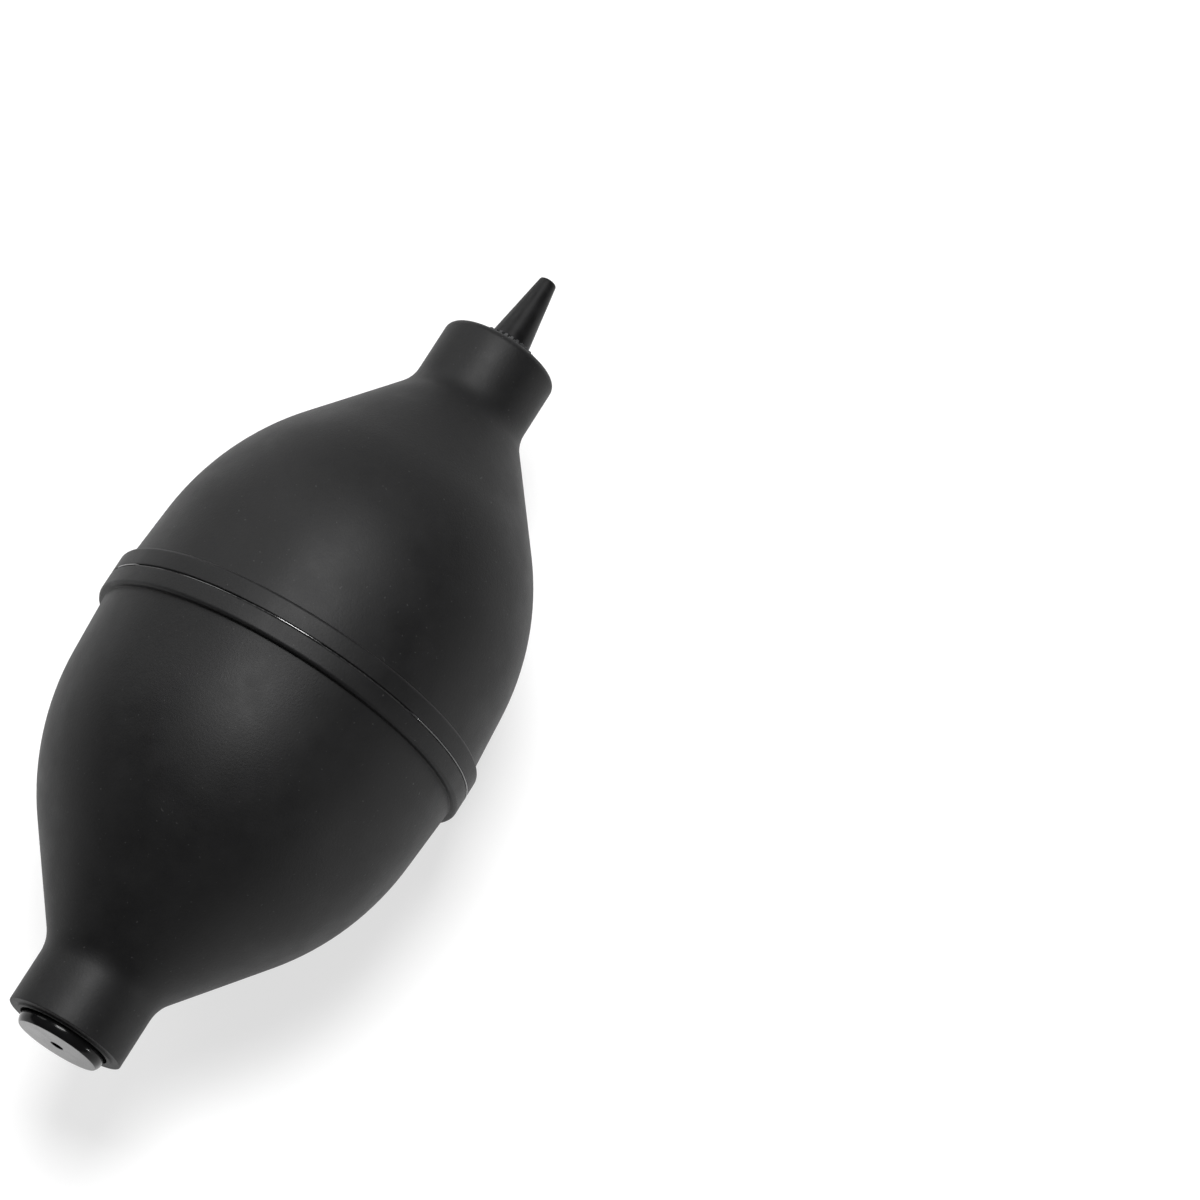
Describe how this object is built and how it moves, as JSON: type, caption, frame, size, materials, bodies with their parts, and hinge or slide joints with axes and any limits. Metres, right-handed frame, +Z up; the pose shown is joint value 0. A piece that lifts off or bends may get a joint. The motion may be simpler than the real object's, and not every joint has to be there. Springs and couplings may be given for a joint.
{
  "type": "dust blower bulb",
  "caption": "Hand-squeezed rubber dust blower bulb with a raised middle band, a tapered nozzle at the front and an inlet valve button at the rear.",
  "frame": {"origin": "on the surface the bulb lies on, under the middle of its length and width", "axes": "+X along the bulb's axis towards the nozzle, +Z up, with the bulb lying on its side on its band"},
  "size_m": [0.135, 0.06, 0.06],
  "materials": {
    "bulb_rubber": "matte moulded",
    "seam_cement": "glossy cured cement",
    "bushing_plastic": "satin moulded, serrated rim",
    "nozzle_plastic": "satin moulded",
    "valve_plastic": "glossy moulded",
    "cage_plastic": "satin moulded",
    "disc_rubber": "matte"
  },
  "bodies": {
    "root": {"front_half_shell": "bulb_rubber", "rear_half_shell": "bulb_rubber", "seam_cement": "seam_cement", "nozzle_bushing": "bushing_plastic", "nozzle": "nozzle_plastic", "valve_housing": "valve_plastic", "valve_cage": "cage_plastic"},
    "pressed_wall": {"front_pressed_wall": "bulb_rubber", "rear_pressed_wall": "bulb_rubber", "seam_cement_pressed": "seam_cement"},
    "inlet_disc": {"valve_disc": "disc_rubber"}
  },
  "joints": [
    {"name": "squeeze", "type": "slide", "parent": "root", "child": "pressed_wall", "axis": [0, 0, -1], "range_m": [0, 0.014], "stiffness_N_per_m": 1500},
    {"name": "inlet_valve_lift", "type": "slide", "parent": "root", "child": "inlet_disc", "axis": [1, 0, 0], "range_m": [0, 0.0011]}
  ]
}
